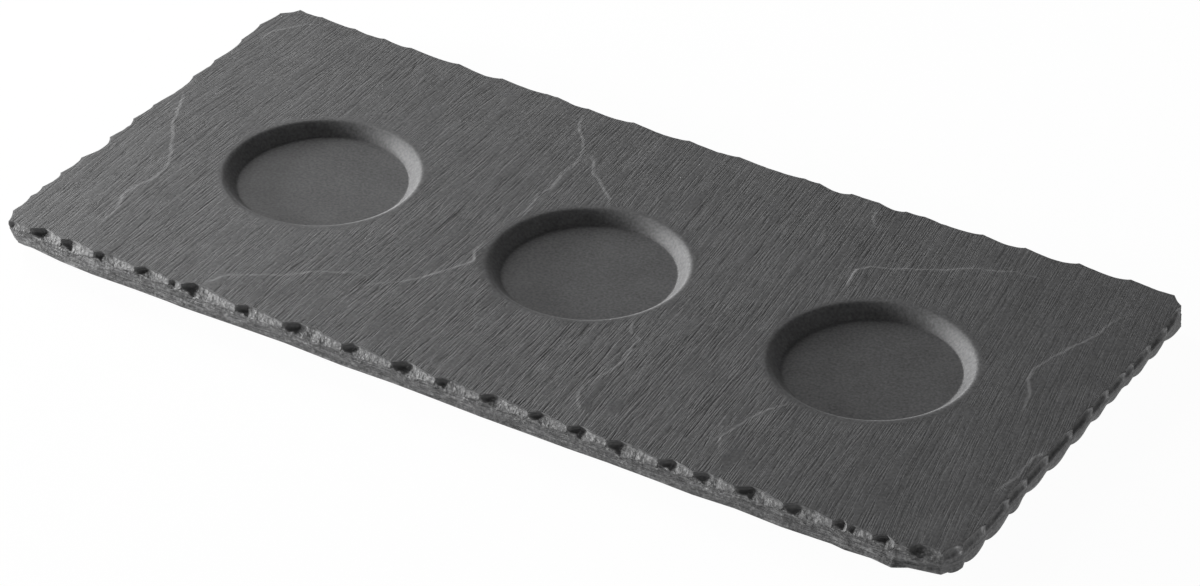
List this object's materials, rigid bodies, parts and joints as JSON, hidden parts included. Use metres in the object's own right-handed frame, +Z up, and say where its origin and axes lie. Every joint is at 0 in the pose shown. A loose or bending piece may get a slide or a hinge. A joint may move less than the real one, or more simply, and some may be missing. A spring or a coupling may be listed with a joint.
{
  "type": "divided serving tray",
  "caption": "Flat rectangular serving tray of slate-look ceramic with a chipped edge, round shallow wells in a row for small dishes, and non-slip pads under it.",
  "frame": {"origin": "on the table under the middle of the tray, at the undersides of the pads", "axes": "+X along the tray, towards the right well; +Y across it, away from the viewer; +Z up"},
  "size_m": [0.2982, 0.14, 0.01],
  "materials": {
    "slate_ceramic": "matt, slate-textured",
    "foot_rubber": "matt",
    "foot_adhesive": "translucent film"
  },
  "bodies": {
    "root": {"tray_body": "slate_ceramic", "foot_pad_front_left": "foot_rubber", "foot_pad_front_right": "foot_rubber", "foot_pad_back_right": "foot_rubber", "foot_pad_back_left": "foot_rubber", "foot_adhesive_front_left": "foot_adhesive", "foot_adhesive_front_right": "foot_adhesive", "foot_adhesive_back_right": "foot_adhesive", "foot_adhesive_back_left": "foot_adhesive"}
  },
  "joints": []
}
